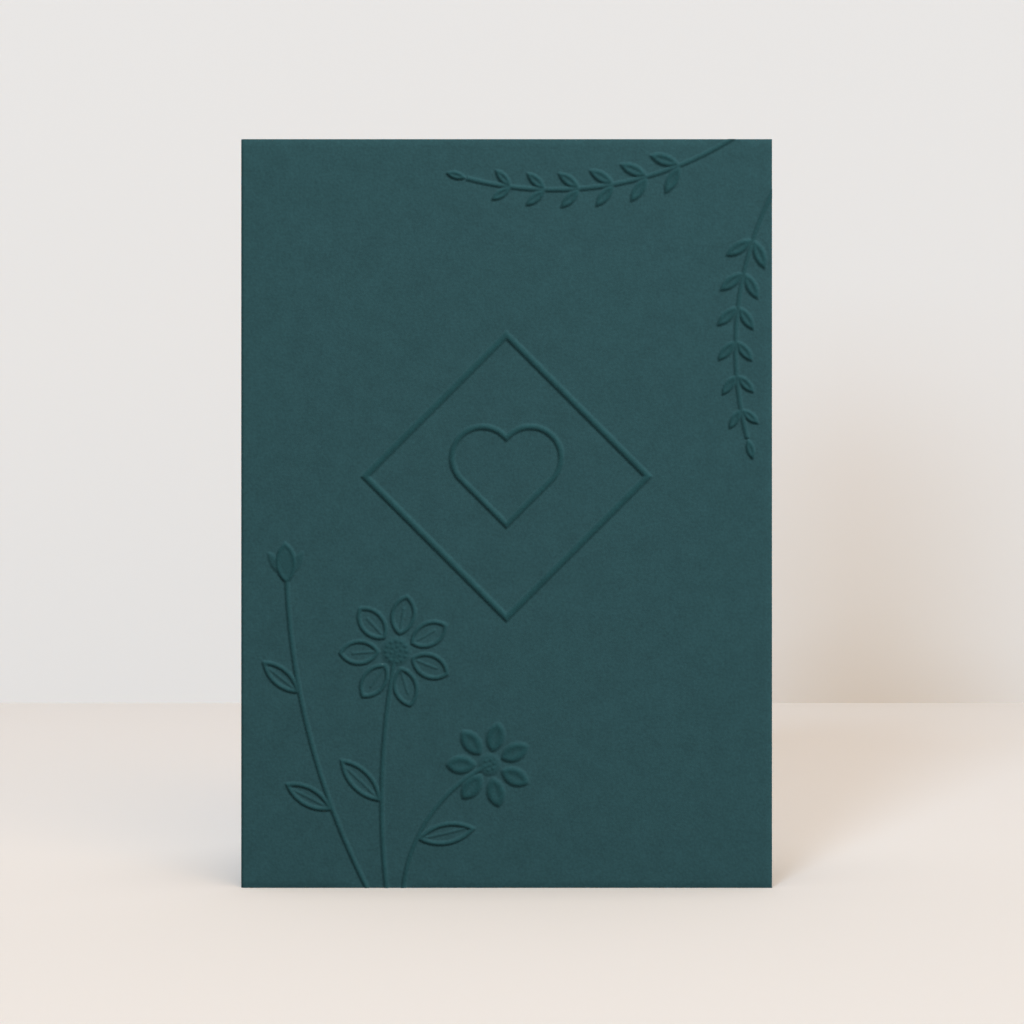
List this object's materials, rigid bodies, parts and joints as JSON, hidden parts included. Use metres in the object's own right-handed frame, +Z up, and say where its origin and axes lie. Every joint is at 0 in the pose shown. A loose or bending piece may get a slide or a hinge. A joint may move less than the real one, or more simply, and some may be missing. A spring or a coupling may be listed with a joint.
{
  "type": "folded greeting card",
  "caption": "Folded card of thick board standing open on its lower edges, with a raised diamond frame, heart, leafy branches and flowers on its front.",
  "frame": {"origin": "middle of the bounding box, on the surface that the card stands on", "axes": "+Z up along the fold; the embossed front leaf faces -Y; the fold is at the -X end and the leaves open towards +X"},
  "size_m": [0.105, 0.0686, 0.148],
  "materials": {
    "board": "uncoated dark teal board, matte, with a fine fibre tooth"
  },
  "bodies": {
    "root": {"card": "board"}
  },
  "joints": []
}
